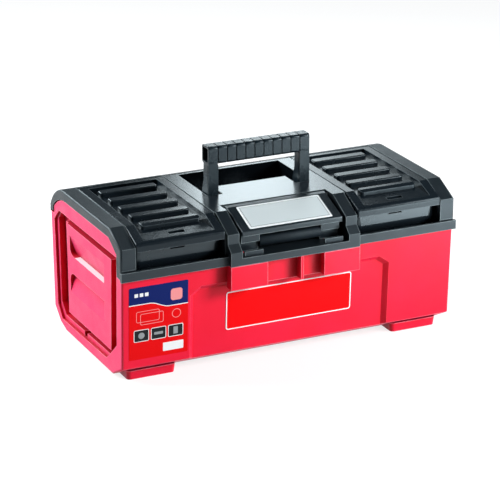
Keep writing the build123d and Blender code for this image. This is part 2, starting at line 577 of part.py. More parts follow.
# Lift-out tray: one long bin in front and three behind, either side of the handle plate
tray_floor = TRAY_Z[0] + TRAY_WALL
tray_inner = TRAY_HALF - TRAY_WALL
tray_mid = (TRAY_MID_Y - TRAY_WALL, TRAY_MID_Y + TRAY_WALL)
with BuildPart() as tray:
    block((-TRAY_HALF, TRAY_HALF), TRAY_Y, TRAY_Z)
    fillet(tray.edges().filter_by(Axis.Z), radius=6.0)
    rear_y = (tray_mid[1], TRAY_Y[1] - TRAY_WALL)
    front_y = (TRAY_Y[0] + TRAY_WALL, tray_mid[0])
    bin_z = (tray_floor, TRAY_Z[1] + 1.0)
    split = TRAY_DIVIDER_X
    for x in ((-tray_inner, -split), (TRAY_WALL - split, split - TRAY_WALL), (split, tray_inner)):
        block(x, rear_y, bin_z, mode=Mode.SUBTRACT)
    block((-tray_inner, tray_inner), front_y, bin_z, mode=Mode.SUBTRACT)
    # Slots in the end walls for the handle plate
    block((-tray_inner - TRAY_SLOT, tray_inner + TRAY_SLOT), tray_mid, bin_z, mode=Mode.SUBTRACT)
tray.part.label = "tray"
export_step(tray.part, "parts/tray.step")

# Tray handle: the middle wall, with a grip over its finger slot
with BuildPart() as tray_handle:
    block((-tray_inner - TRAY_SLOT, tray_inner + TRAY_SLOT), tray_mid, (tray_floor, TRAY_Z[1]))
    block((-TRAY_HANDLE_HALF, TRAY_HANDLE_HALF), tray_mid, (TRAY_Z[1] - 10.0, TRAY_HANDLE_TOP))
    block((-45.0, 45.0), (tray_mid[0] - 1.0, tray_mid[1] + 1.0), (86.0, 108.0), mode=Mode.SUBTRACT)
tray_handle.part.label = "tray_handle"
export_step(tray_handle.part, "parts/tray_handle.step")

# Blank framed label in the front recess, and the sticker on the left front corner
with BuildPart() as front_label:
    with BuildSketch(wall_plane(RECESS_DEPTH, LABEL_RISE)):
        RectangleRounded(*LABEL_SIZE, 3.0)
    extrude(amount=LABEL_THICK)
front_label.part.label = "front_label"
export_step(front_label.part, "parts/front_label.step")

with BuildPart() as corner_sticker:
    with BuildSketch(wall_plane(0.0, STICKER_RISE)):
        with Locations((STICKER_X, 0)):
            RectangleRounded(*STICKER_SIZE, 1.5)
    extrude(amount=STICKER_THICK)
corner_sticker.part.label = "corner_sticker"
export_step(corner_sticker.part, "parts/corner_sticker.step")
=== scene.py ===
import math

import bmesh
import bpy
from mathutils import Matrix, Vector


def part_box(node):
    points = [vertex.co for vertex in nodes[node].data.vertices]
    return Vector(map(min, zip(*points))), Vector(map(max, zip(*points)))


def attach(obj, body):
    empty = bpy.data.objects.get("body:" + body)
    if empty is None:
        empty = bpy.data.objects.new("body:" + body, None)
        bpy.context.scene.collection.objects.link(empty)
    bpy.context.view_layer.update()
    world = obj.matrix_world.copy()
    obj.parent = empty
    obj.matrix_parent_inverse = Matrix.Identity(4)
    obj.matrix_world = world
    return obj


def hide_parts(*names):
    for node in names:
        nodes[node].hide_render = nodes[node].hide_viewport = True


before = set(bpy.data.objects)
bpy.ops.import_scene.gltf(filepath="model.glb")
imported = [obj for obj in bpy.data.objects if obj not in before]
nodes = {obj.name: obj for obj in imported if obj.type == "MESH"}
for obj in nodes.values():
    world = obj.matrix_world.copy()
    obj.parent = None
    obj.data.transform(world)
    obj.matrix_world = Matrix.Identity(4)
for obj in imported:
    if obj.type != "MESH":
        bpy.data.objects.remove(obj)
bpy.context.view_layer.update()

# Base bin: the red lower half of the box, one injection-moulded polypropylene shell.
# It is moulded in one shot with its feet, recessed end panels and catch block, and its skin
# has the fine spark grain of the tool, a satin shine and paler edges, which are wear and painted edge
# highlights.
RED = (0.87, 0.004, 0.036, 1.0)
RED_DEEP = (0.83, 0.002, 0.026, 1.0)
RED_SHINE = (0.36, 0.48)
RED_MIRROR = 0.28
RED_HAZE = 0.13
RED_HAZE_TINT = (1.0, 0.22, 0.60, 1.0)
RED_HAZE_ROUGHNESS = 0.5
PLAIN = (1.0, 1.0, 1.0, 1.0)
COMMON_MIRROR = 0.5
ZERO_TO_ONE = (0.0, 1.0)
# Spark grain, drift of colour and patches of softer shine
GRAIN_SIZE = 2600.0
GRAIN_DETAIL = 2.0
GRAIN_ROUGHNESS = 0.6
GRAIN_DEPTH = 0.0003
GRAIN_STRENGTH = 0.35
DRIFT_SIZE = 16.0
DRIFT_DETAIL = 3.0
DRIFT_SPAN = (0.35, 0.65)
PATCH_SIZE = 55.0
PATCH_DETAIL = 4.0
PATCH_SPAN = (0.3, 0.7)
# Outer edges painted paler in uneven patches: wear, and painted edge highlights
RED_WORN_HIGHLIGHT = (0.96, 0.27, 0.35, 1.0)
WEAR_HIGHLIGHT_REACH = 0.0008
WEAR_HIGHLIGHT_SAMPLES = 8
WEAR_HIGHLIGHT_SPAN = (0.95, 0.60)
WEAR_HIGHLIGHT_PATCH_SIZE = 90.0
WEAR_HIGHLIGHT_PATCH_DETAIL = 3.0
WEAR_HIGHLIGHT_PATCH_SPAN = (0.35, 0.60)
WEAR_HIGHLIGHT_PATCH_RANGE = (0.45, 1.0)
# Painted sheen on the end panels, painted shade in inner corners, painted highlight on the upper finger
# scoop's ledge
RED_END_PAINTED_SHEEN = (0.88, 0.026, 0.125, 1.0)
END_PANEL_X = 0.178
END_FACING = (0.80, 0.95)
RED_SHADE = (0.44, 0.0, 0.001, 1.0)
SHADE_REACH = 0.016
SHADE_SPAN = (0.95, 0.45)
LEDGE_PAINTED_HIGHLIGHT = (0.92, 0.86, 0.87, 1.0)
LEDGE_HEIGHT = 0.097
LEDGE_TOLERANCE = 0.0004
LEDGE_FACING = 0.9
LEDGE_MIDDLE = -0.0035
LEDGE_HALF = 0.0405
# Mesh clean-up and rounded edges
WELD_GAP = 1e-6
FLAT_ANGLE = math.radians(0.5)
SHARP_EDGE = math.radians(28)
EDGE_ROUND = 0.0006
EDGE_STEPS = 2
NO_ROUND = 0.0


def feed(tree, socket, value):
    """Link another socket to this one, or set this one to a plain value."""
    if isinstance(value, bpy.types.NodeSocket):
        tree.links.new(value, socket)
    else:
        socket.default_value = value


def node(tree, kind, **values):
    """Add a shader node, and feed its named sockets or set its own settings."""
    made = tree.nodes.new(kind)
    for key, value in values.items():
        name = key.replace("_", " ")
        if name in made.inputs:
            feed(tree, made.inputs[name], value)
        else:
            setattr(made, key, value)
    return made


def calc(tree, operation, *values):
    """Add a maths node that works on sockets or plain numbers, and return its result."""
    made = node(tree, "ShaderNodeMath", operation=operation)
    for socket, value in zip(made.inputs, values):
        feed(tree, socket, value)
    return made.outputs[0]


def ramp(tree, value, span, reach=ZERO_TO_ONE, **settings):
    """Spread a span of values over 0 to 1 or over another reach, and return the result."""
    made = node(tree, "ShaderNodeMapRange", Value=value, From_Min=span[0], From_Max=span[1],
                To_Min=reach[0], To_Max=reach[1], **settings)
    return made.outputs["Result"]


def paint(tree, under, mask, colour):
    """Lay a colour over another where the mask is 1."""
    return node(tree, "ShaderNodeMix", data_type="RGBA", A=under, B=colour, Factor=mask).outputs["Result"]


def split(tree, vector):
    """Part a vector into X, Y and Z."""
    return node(tree, "ShaderNodeSeparateXYZ", Vector=vector).outputs


def place_on(tree):
    """Return where a point of the surface is, in its own piece's frame."""
    return node(tree, "ShaderNodeTexCoord").outputs["Object"]


def new_group(name, inputs, outputs):
    """Make a node group with named sockets, and return it with what it is given and what it gives."""
    group = bpy.data.node_groups.new(name, "ShaderNodeTree")
    for direction, sockets in (("INPUT", inputs), ("OUTPUT", outputs)):
        for socket, kind in sockets.items():
            group.interface.new_socket(socket, in_out=direction, socket_type="NodeSocket" + kind)
    return group, node(group, "NodeGroupInput").outputs, node(group, "NodeGroupOutput").inputs


def grain_group():
    """Moulded skin: fine spark grain, a slow drift of colour and patches of softer shine."""
    group, given, result = new_group(
        "moulded_grain",
        {"Colour": "Color", "Drift Colour": "Color",
         "Shine Low": "Float", "Shine High": "Float", "Grain Size": "Float"},
        {"Colour": "Color", "Roughness": "Float", "Height": "Float"})
    where = place_on(group)
    fine = node(group, "ShaderNodeTexNoise", Vector=where, Scale=given["Grain Size"],
                Detail=GRAIN_DETAIL, Roughness=GRAIN_ROUGHNESS)
    drift = node(group, "ShaderNodeTexNoise", Vector=where, Scale=DRIFT_SIZE, Detail=DRIFT_DETAIL)
    patch = node(group, "ShaderNodeTexNoise", Vector=where, Scale=PATCH_SIZE, Detail=PATCH_DETAIL)
    drifted = ramp(group, drift.outputs["Fac"], DRIFT_SPAN)
    shine = ramp(group, patch.outputs["Fac"], PATCH_SPAN, (given["Shine Low"], given["Shine High"]))
    group.links.new(paint(group, given["Colour"], drifted, given["Drift Colour"]), result["Colour"])
    group.links.new(shine, result["Roughness"])
    group.links.new(fine.outputs["Fac"], result["Height"])
    return group


def wear_and_highlight_group():
    """Edge wear and painted edge highlights: a mask along the outer edges, broken up in patches."""
    group, given, result = new_group("edge_wear_and_highlight", {"Reach": "Float"}, {"Mask": "Float"})
    rim = node(group, "ShaderNodeAmbientOcclusion", inside=True, only_local=True, samples=WEAR_HIGHLIGHT_SAMPLES,
               Distance=given["Reach"])
    patch = node(group, "ShaderNodeTexNoise", Vector=place_on(group), Scale=WEAR_HIGHLIGHT_PATCH_SIZE,
                 Detail=WEAR_HIGHLIGHT_PATCH_DETAIL)
    # Inside ambient occlusion finds the outer edges, which are painted paler as wear and as edge highlights
    worn_highlight = ramp(group, rim.outputs["AO"], WEAR_HIGHLIGHT_SPAN)
    uneven = ramp(group, patch.outputs["Fac"], WEAR_HIGHLIGHT_PATCH_SPAN, WEAR_HIGHLIGHT_PATCH_RANGE)
    group.links.new(calc(group, "MULTIPLY", worn_highlight, uneven), result["Mask"])
    return group


moulded_grain = grain_group()
edge_wear_and_highlight = wear_and_highlight_group()


def new_material(name, mirror=COMMON_MIRROR, mirror_tint=PLAIN):
    """Make an empty node material, and return it with its tree and its shader."""
    material = bpy.data.materials.new(name)
    material.use_nodes = True
    shader = material.node_tree.nodes["Principled BSDF"]
    shader.inputs["Specular IOR Level"].default_value = mirror
    shader.inputs["Specular Tint"].default_value = mirror_tint
    return material, material.node_tree, shader


def add_skin(tree, shader, colour, drift, shine, grain_depth):
    """Put the shared moulded grain on a shader, and return the group's outputs."""
    skin = node(tree, "ShaderNodeGroup", node_tree=moulded_grain, Colour=colour, Drift_Colour=drift,
                Shine_Low=shine[0], Shine_High=shine[1], Grain_Size=GRAIN_SIZE).outputs
    bump = node(tree, "ShaderNodeBump", Strength=GRAIN_STRENGTH, Distance=grain_depth, Height=skin["Height"])
    tree.links.new(skin["Colour"], shader.inputs["Base Color"])
    tree.links.new(skin["Roughness"], shader.inputs["Roughness"])
    tree.links.new(bump.outputs["Normal"], shader.inputs["Normal"])
    return skin


def wear_and_highlight(tree, colour, edge_colour):
    """Lay the colour of worn edges and painted edge highlights over another."""
    worn_highlight = node(tree, "ShaderNodeGroup", node_tree=edge_wear_and_highlight, Reach=WEAR_HIGHLIGHT_REACH)
    return paint(tree, colour, worn_highlight.outputs["Mask"], edge_colour)


def dress(name, material, edge=EDGE_ROUND):
    """Give a piece its finish, and round the edges that its mould would round."""
    piece = nodes[name]
    piece.data.materials.clear()
    piece.data.materials.append(material)
    weld = piece.modifiers.new("weld", "WELD")
    weld.merge_threshold = WELD_GAP
    flat = piece.modifiers.new("flat faces", "DECIMATE")
    flat.decimate_type = "DISSOLVE"
    flat.angle_limit = FLAT_ANGLE
    if edge > NO_ROUND:
        bevel = piece.modifiers.new("edges", "BEVEL")
        bevel.width = edge
        bevel.segments = EDGE_STEPS
        bevel.limit_method = "ANGLE"
        bevel.angle_limit = SHARP_EDGE
        bevel.harden_normals = True


def red_moulding():
    """Red plastic: painted sheen on its end panels, painted shade in its inner corners, painted highlight on
    a scoop ledge.
    """
    material, tree, shader = new_material("red_plastic", RED_MIRROR)
    shader.inputs["Sheen Weight"].default_value = RED_HAZE
    shader.inputs["Sheen Roughness"].default_value = RED_HAZE_ROUGHNESS
    shader.inputs["Sheen Tint"].default_value = RED_HAZE_TINT
    skin = add_skin(tree, shader, RED, RED_DEEP, RED_SHINE, GRAIN_DEPTH)
    place = split(tree, place_on(tree))
    facing = split(tree, node(tree, "ShaderNodeTexCoord").outputs["Normal"])
    # Painted sheen: the end panels' faces that look sideways are painted paler and pinker
    outboard = calc(tree, "GREATER_THAN", calc(tree, "ABSOLUTE", place["X"]), END_PANEL_X)
    sheen_sideways = ramp(tree, calc(tree, "ABSOLUTE", facing["X"]), END_FACING)
    colour = paint(tree, skin["Colour"], calc(tree, "MULTIPLY", sheen_sideways, outboard), RED_END_PAINTED_SHEEN)
    # Painted shade: the colour darkens in inner corners, by ambient occlusion
    painted_corner_shade = node(tree, "ShaderNodeAmbientOcclusion", Distance=SHADE_REACH, only_local=True)
    colour = paint(tree, colour, ramp(tree, painted_corner_shade.outputs["AO"], SHADE_SPAN), RED_SHADE)
    # Outer edges painted paler: wear and painted edge highlights
    colour = wear_and_highlight(tree, colour, RED_WORN_HIGHLIGHT)
    # Painted highlight on the ledge of the upper finger scoop
    ledge_highlight = calc(tree, "COMPARE", place["Z"], LEDGE_HEIGHT, LEDGE_TOLERANCE)
    ledge_highlight = calc(tree, "MULTIPLY", ledge_highlight, calc(tree, "GREATER_THAN", facing["Z"], LEDGE_FACING))
    ledge_highlight = calc(tree, "MULTIPLY", ledge_highlight, calc(tree, "COMPARE", place["Y"], LEDGE_MIDDLE, LEDGE_HALF))
    colour = paint(tree, colour, calc(tree, "MULTIPLY", ledge_highlight, outboard), LEDGE_PAINTED_HIGHLIGHT)
    tree.links.new(colour, shader.inputs["Base Color"])
    return material


dress("base", red_moulding(), NO_ROUND)

# Hinge pins: two lengths of drawn steel wire pushed through the knuckles behind the lid.
# The die leaves fine lines along the wire, which show as streaks in its shine.
STEEL = (0.56, 0.57, 0.58, 1.0)
STEEL_DARK = (0.40, 0.41, 0.42, 1.0)
STEEL_SHINE = (0.22, 0.42)
STEEL_METALLIC = 1.0
STEEL_STREAKS = (60.0, 2600.0, 2600.0)
STREAK_DETAIL = 3.0
WIRE_ROUND = 0.0002


def streak_group():
    """Drawn or brushed metal: fine lines along X, which vary its colour and its shine."""
    group, given, result = new_group(
        "metal_streaks",
        {"Dark Colour": "Color", "Colour": "Color",
         "Shine Low": "Float", "Shine High": "Float", "Streaks": "Vector"},
        {"Colour": "Color", "Roughness": "Float"})
    drawn_out = node(group, "ShaderNodeMapping", Vector=place_on(group), Scale=given["Streaks"])
    noise = node(group, "ShaderNodeTexNoise", Vector=drawn_out.outputs["Vector"], Scale=1.0,
                 Detail=STREAK_DETAIL)
    lines = noise.outputs["Fac"]
    group.links.new(paint(group, given["Dark Colour"], lines, given["Colour"]), result["Colour"])
    shine = ramp(group, lines, ZERO_TO_ONE, (given["Shine Low"], given["Shine High"]))
    group.links.new(shine, result["Roughness"])
    return group


metal_streaks = streak_group()


def add_streaks(tree, shader, colour, dark, shine, streaks):
    """Put the shared metal streaks on a shader, and return the group's outputs."""
    metal = node(tree, "ShaderNodeGroup", node_tree=metal_streaks, Dark_Colour=dark, Colour=colour,
                 Streaks=streaks, Shine_Low=shine[0], Shine_High=shine[1]).outputs
    tree.links.new(metal["Colour"], shader.inputs["Base Color"])
    tree.links.new(metal["Roughness"], shader.inputs["Roughness"])
    return metal


wire_steel, steel_tree, steel_shader = new_material("steel")
steel_shader.inputs["Metallic"].default_value = STEEL_METALLIC
add_streaks(steel_tree, steel_shader, STEEL, STEEL_DARK, STEEL_SHINE, STEEL_STREAKS)
for name in ("hinge_pin_left", "hinge_pin_right"):
    dress(name, wire_steel, WIRE_ROUND)

# Front label: a thin printed film let into the front recess below the catch block.
# It is a clear bright red, plain but for a white rounded line round its edge.
LABEL_RED = (0.90, 0.003, 0.006, 1.0)
LABEL_RED_DEEP = (0.88, 0.003, 0.005, 1.0)
LABEL_LINE = 0.0012
LABEL_CORNER = 0.003
PRINT_WHITE = (0.88, 0.88, 0.88, 1.0)
PRINT_EDGE = (0.00012, -0.00012)
FILM_SHINE = (0.34, 0.40)
FILM_MIRROR = 0.08
FILM_GRAIN = 0.00003
CENTRE = (0.0, 0.0)


def outline_group():
    """Printed rounded rectangle: masks for its inside and for a line along its edge."""
    group, given, result = new_group(
        "printed_outline",
        {name: "Float" for name in ("Across", "Up", "Half Width", "Half Height", "Corner", "Line")},
        {name: "Float" for name in ("Inside", "Line")})
    reach = []
    for along, half in (("Across", "Half Width"), ("Up", "Half Height")):
        past = calc(group, "SUBTRACT", calc(group, "ABSOLUTE", given[along]), given[half])
        reach.append(calc(group, "ADD", past, given["Corner"]))
    round_part = [calc(group, "POWER", calc(group, "MAXIMUM", r, 0.0), 2.0) for r in reach]
    round_part = calc(group, "SQRT", calc(group, "ADD", *round_part))
    flat_part = calc(group, "MINIMUM", calc(group, "MAXIMUM", *reach), 0.0)
    distance = calc(group, "SUBTRACT", calc(group, "ADD", round_part, flat_part), given["Corner"])
    inside = ramp(group, distance, PRINT_EDGE)
    within_line = ramp(group, calc(group, "ADD", distance, given["Line"]), PRINT_EDGE)
    group.links.new(inside, result["Inside"])
    group.links.new(calc(group, "SUBTRACT", inside, within_line), result["Line"])
    return group


printed_outline = outline_group()


def outline(tree, place, middle, size, painted_corner_shade, line=0.0):
    """Place a printed rounded rectangle, and return its outputs."""
    across, up = (calc(tree, "SUBTRACT", along, start) for along, start in zip(place, middle))
    return node(tree, "ShaderNodeGroup", node_tree=printed_outline, Across=across, Up=up,
                Half_Width=size[0] / 2, Half_Height=size[1] / 2, Corner=painted_corner_shade, Line=line).outputs


def film_place(tree, name):
    """Return where a point of a film is, across and up from its middle, and the film's size."""
    low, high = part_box(name)
    middle = (low + high) / 2
    place = split(tree, place_on(tree))
    across = calc(tree, "SUBTRACT", place["X"], middle.x)
    up = calc(tree, "SUBTRACT", place["Z"], middle.z)
    return (across, up), (high.x - low.x, high.z - low.z)


def label_film():
    """Red film with a white line along its edge."""
    material, tree, shader = new_material("front_label", FILM_MIRROR)
    skin = add_skin(tree, shader, LABEL_RED, LABEL_RED_DEEP, FILM_SHINE, FILM_GRAIN)
    place, size = film_place(tree, "front_label")
    line = outline(tree, place, CENTRE, size, LABEL_CORNER, LABEL_LINE)["Line"]
    tree.links.new(paint(tree, skin["Colour"], line, PRINT_WHITE), shader.inputs["Base Color"])
    return material


dress("front_label", label_film(), NO_ROUND)

# Corner sticker: a printed film stuck on the left end of the front wall.
# It has a blue head, a red field, three dark tiles and a few plain pale shapes.
STICKER_RED = (0.82, 0.004, 0.006, 1.0)
STICKER_RED_DEEP = (0.78, 0.004, 0.006, 1.0)
STICKER_BLUE = (0.006, 0.016, 0.120, 1.0)
STICKER_PINK = (0.88, 0.30, 0.30, 1.0)
STICKER_GREY = (0.30, 0.32, 0.33, 1.0)
STICKER_DARK = (0.015, 0.018, 0.020, 1.0)
HEAD_EDGE = 0.0215
HEAD_CURVE = (-0.010, 0.012)
HEAD_DROP = 0.0065
HEAD_LINE = 0.0009
SQUARE_COUNT = 3
SQUARE_START = (-0.0250, 0.0315)
SQUARE_STEP = 0.0058
SQUARE = (0.004, 0.004)
SQUARE_CORNER = 0.0005
# The other shapes: middle, size and corner of each, from the middle of the sticker
HEAD_PATCH = ((0.0200, 0.0265), (0.0130, 0.0130), 0.0030)
FIELD_FRAMES = (((-0.0120, 0.0070), (0.026, 0.0125), 0.002),
                ((-0.0075, 0.0040), (0.026, 0.0125), 0.002),
                ((0.0200, 0.0050), (0.010, 0.010), 0.005))
FOOT_PATCH = ((0.0165, -0.0310), (0.0230, 0.0095), 0.0008)
FRAME_LINE = 0.0006
TILE = (0.0170, 0.0135)
TILE_CORNER = 0.0016
TILE_LINE = 0.0007
TILE_STEP = 0.0192
TILE_LEVEL = -0.0140
# Size and corner of the shape in each tile, by the tile's place in the row
TILE_SHAPES = {-1: ((0.007, 0.007), 0.0035), 0: ((0.010, 0.003), 0.001), 1: ((0.005, 0.008), 0.0005)}


def sticker_film():
    """Printed film: its shapes are laid over each other from the field up."""
    material, tree, shader = new_material("corner_sticker", FILM_MIRROR)
    colour = add_skin(tree, shader, STICKER_RED, STICKER_RED_DEEP, FILM_SHINE, FILM_GRAIN)["Colour"]
    place, _ = film_place(tree, "corner_sticker")
    across, up = place
    # Head with a white line along its edge, which drops in a soft curve to the right
    curve = ramp(tree, across, HEAD_CURVE, interpolation_type="SMOOTHSTEP")
    head = calc(tree, "ADD", up, calc(tree, "MULTIPLY", curve, HEAD_DROP))
    colour = paint(tree, colour, calc(tree, "GREATER_THAN", head, HEAD_EDGE - HEAD_LINE), PRINT_WHITE)
    colour = paint(tree, colour, calc(tree, "GREATER_THAN", head, HEAD_EDGE), STICKER_BLUE)
    # Three squares and a plain patch in the head
    for step in range(SQUARE_COUNT):
        middle = (SQUARE_START[0] + SQUARE_STEP * step, SQUARE_START[1])
        square = outline(tree, place, middle, SQUARE, SQUARE_CORNER)
        colour = paint(tree, colour, square["Inside"], PRINT_WHITE)
    colour = paint(tree, colour, outline(tree, place, *HEAD_PATCH)["Inside"], STICKER_PINK)
    # Two nested frames and a ring in the field
    for field_frame in FIELD_FRAMES:
        line = outline(tree, place, *field_frame, FRAME_LINE)["Line"]
        colour = paint(tree, colour, line, STICKER_PINK)
    # Three dark tiles with a pale edge, each with one plain shape
    for step, shape in TILE_SHAPES.items():
        middle = (step * TILE_STEP, TILE_LEVEL)
        tile = outline(tree, place, middle, TILE, TILE_CORNER, TILE_LINE)
        colour = paint(tree, colour, tile["Inside"], STICKER_DARK)
        colour = paint(tree, colour, tile["Line"], PRINT_WHITE)
        colour = paint(tree, colour, outline(tree, place, middle, *shape)["Inside"], STICKER_GREY)
    # Pale patch at the foot
    colour = paint(tree, colour, outline(tree, place, *FOOT_PATCH)["Inside"], PRINT_WHITE)
    tree.links.new(colour, shader.inputs["Base Color"])
    return material


dress("corner_sticker", sticker_film(), NO_ROUND)

# Lift-out tray: a black moulded tub that stands on ledges inside the bin.
# Its handle plate slides into slots in the end walls and parts the front bin from the rear ones.
TRAY_BLACK = (0.016, 0.018, 0.020, 1.0)
TRAY_DEEP = (0.012, 0.013, 0.015, 1.0)
TRAY_SHINE = (0.42, 0.55)
TRAY_MIRROR = 0.4
COOL = (0.80, 0.94, 1.0, 1.0)


def moulded(name, colour, drift, shine, grain_depth, mirror, worn_highlight=None):
    """Make a satin moulded plastic, with paler edges, worn and painted as highlights, where a colour is given
    for them.
    """
    material, tree, shader = new_material(name, mirror, COOL)
    skin = add_skin(tree, shader, colour, drift, shine, grain_depth)
    if worn_highlight:
        tree.links.new(wear_and_highlight(tree, skin["Colour"], worn_highlight), shader.inputs["Base Color"])
    return material


tray_plastic = moulded("tray_plastic", TRAY_BLACK, TRAY_DEEP, TRAY_SHINE, GRAIN_DEPTH, TRAY_MIRROR)
for name in ("tray", "tray_handle"):
    dress(name, tray_plastic)

# Lid: the black upper half, one polypropylene moulding that carries every other upper piece.
# The panel round the handle pit is polished, and bands, posts and rim have the spark grain.
BLACK = (0.006, 0.010, 0.014, 1.0)
BLACK_DEEP = (0.005, 0.008, 0.011, 1.0)
BLACK_WORN_HIGHLIGHT = (0.20, 0.24, 0.25, 1.0)
LID_MIRROR = 0.5
GRAINED_SHINE = (0.40, 0.50)
POLISHED_SHINE = 0.25
POLISHED_HALF = 0.0765
POLISHED_HEIGHT = 0.1640
POLISH = 0.94
PIT_PAINTED_SHADE = (0.002, 0.003, 0.004, 1.0)
PIT_SHINE = 0.12
PIT_MIDDLE = 0.030
PIT_REACH = 0.045


def lid_plastic():
    """Black plastic: grained, but polished on the middle panel and smooth in the handle pit."""
    material, tree, shader = new_material("lid_plastic", LID_MIRROR, COOL)
    skin = add_skin(tree, shader, BLACK, BLACK_DEEP, GRAINED_SHINE, GRAIN_DEPTH)
    place = split(tree, place_on(tree))
    inboard = calc(tree, "LESS_THAN", calc(tree, "ABSOLUTE", place["X"]), POLISHED_HALF)
    on_top = calc(tree, "GREATER_THAN", place["Z"], POLISHED_HEIGHT)
    polished = calc(tree, "MULTIPLY", inboard, on_top)
    # The pit's walls and floor are smoother, and painted a deeper black as shade
    below = calc(tree, "MULTIPLY", inboard, calc(tree, "SUBTRACT", 1.0, on_top))
    in_pit = calc(tree, "MULTIPLY", calc(tree, "COMPARE", place["Y"], PIT_MIDDLE, PIT_REACH), below)
    shine = skin["Roughness"]
    for mask, roughness in ((polished, POLISHED_SHINE), (in_pit, PIT_SHINE)):
        finish = node(tree, "ShaderNodeMix", data_type="FLOAT", A=shine, B=roughness, Factor=mask)
        shine = finish.outputs["Result"]
    tree.links.new(shine, shader.inputs["Roughness"])
    # Painted shade in the pit, and paler edges: wear and painted edge highlights
    colour = wear_and_highlight(tree, paint(tree, skin["Colour"], in_pit, PIT_PAINTED_SHADE), BLACK_WORN_HIGHLIGHT)
    tree.links.new(colour, shader.inputs["Base Color"])
    # Polish takes most of the grain off
    grain = calc(tree, "MULTIPLY_ADD", polished, -POLISH, 1.0)
    bump = shader.inputs["Normal"].links[0].from_node
    tree.links.new(calc(tree, "MULTIPLY", skin["Height"], grain), bump.inputs["Height"])
    return material


dress("lid", lid_plastic(), NO_ROUND)

# Organisers: a shallow black well under each cover, clipped into the lid from below.
# The rolled front wall leaves a finger groove under the cover's lip.
WELL_SHINE = (0.26, 0.32)
WELL_MIRROR = 0.65
GLOSS_GRAIN = 0.00002
well_plastic = moulded("well_plastic", BLACK, BLACK_DEEP, WELL_SHINE, GLOSS_GRAIN, WELL_MIRROR)
for name in ("organiser_left", "organiser_right"):
    dress(name, well_plastic)

# Organiser covers: black moulded flaps that turn on trunnions at their rear corners.
# Five bars stand in the recess of each, for stiffness and grip.
COVER_SHINE = (0.24, 0.28)
COVER_MIRROR = 0.30
COVER_WORN_HIGHLIGHT = (0.09, 0.11, 0.12, 1.0)
# Cover edges painted paler: wear and painted edge highlights
cover_plastic = moulded("cover_plastic", BLACK, BLACK_DEEP, COVER_SHINE, GLOSS_GRAIN,
                        COVER_MIRROR, COVER_WORN_HIGHLIGHT)
for name in ("cover_left", "cover_right"):
    dress(name, cover_plastic)

# Carry handle: a black moulded bow with a hollow, grooved grip, which folds back into the pit.
# It turns on two short plastic pins pushed through the pit's side walls.
HANDLE_BLACK = (0.008, 0.014, 0.019, 1.0)
HANDLE_DEEP = (0.006, 0.011, 0.015, 1.0)
HANDLE_SHINE = (0.24, 0.32)
HANDLE_MIRROR = 0.22
PIN_SHINE = (0.36, 0.48)
PIN_MIRROR = 0.35
PIN_ROUND = 0.0003
handle_plastic = moulded("handle_plastic", HANDLE_BLACK, HANDLE_DEEP, HANDLE_SHINE, GRAIN_DEPTH,
                         HANDLE_MIRROR)
dress("handle", handle_plastic)
pin_plastic = moulded("pin_plastic", BLACK_DEEP, BLACK, PIN_SHINE, GRAIN_DEPTH, PIN_MIRROR)
for name in ("handle_pin_left", "handle_pin_right"):
    dress(name, pin_plastic, PIN_ROUND)

# Latch: a black moulded paddle with two hooks behind it, and a finger bar across them.
# It swings on a steel pin between the lid's posts, and a coil spring on that pin closes it.
LATCH_SHINE = (0.28, 0.36)
LATCH_MIRROR = 0.45
BAR_SHINE = (0.50, 0.60)
BAR_MIRROR = 0.15
# Latch edges painted paler: wear and painted edge highlights
latch_plastic = moulded("latch_plastic", BLACK, BLACK_DEEP, LATCH_SHINE, GRAIN_DEPTH,
                        LATCH_MIRROR, BLACK_WORN_HIGHLIGHT)
dress("latch", latch_plastic)
bar_plastic = moulded("bar_plastic", BLACK, BLACK_DEEP, BAR_SHINE, GRAIN_DEPTH, BAR_MIRROR)
dress("latch_bar", bar_plastic)
for name in ("latch_pin", "latch_spring"):
    dress(name, wire_steel, NO_ROUND)

# Latch plate: a satin silver plate glued into the pocket of the paddle.
# Its edge is bevelled bright, and a fine groove runs round its field a little way in, darkened with painted
# shade.
SILVER = (0.74, 0.81, 0.82, 1.0)
SILVER_DEEP = (0.69, 0.76, 0.77, 1.0)
SILVER_EDGE = (0.86, 0.89, 0.89, 1.0)
SILVER_SHINE = (0.30, 0.42)
SILVER_METALLIC = 0.25
SILVER_STREAKS = (30.0, 2200.0, 2200.0)
GROOVE_PAINTED_SHADE = (0.16, 0.18, 0.19, 1.0)
GROOVE_INSET = 0.0024
GROOVE_WIDTH = 0.0005
PLATE_SLOPE = math.radians(20.52)
PLATE_SIZE = (0.096, 0.037)
PLATE_CORNER = 0.0012
LEAST_CORNER = 0.0002
CORNER_STEPS = 4
CORNER_SIDES = ((1, 1), (-1, 1), (-1, -1), (1, -1))
QUARTER_TURN = math.radians(90)
MM = 0.001
# Inset and height of each ring of the plate's profile, in millimetres, from its back up to its field
PLATE_RINGS = ((0.0, -0.55), (0.0, 0.12), (0.25, 0.35), (0.75, 0.55), (1.05, 0.60), (2.30, 0.60),
               (2.42, 0.30), (2.78, 0.30), (2.90, 0.60))


def plate_ring(inset):
    """Corners of the plate's outline, drawn in by inset, counter-clockwise from the right."""
    radius = max(PLATE_CORNER - inset, LEAST_CORNER)
    half_x, half_y = (length / 2 - inset - radius for length in PLATE_SIZE)
    points = []
    for painted_corner_shade, (side_x, side_y) in enumerate(CORNER_SIDES):
        for step in range(CORNER_STEPS + 1):
            turn = QUARTER_TURN * (painted_corner_shade + step / CORNER_STEPS)
            points.append((side_x * half_x + radius * math.cos(turn),
                           side_y * half_y + radius * math.sin(turn)))
    return points


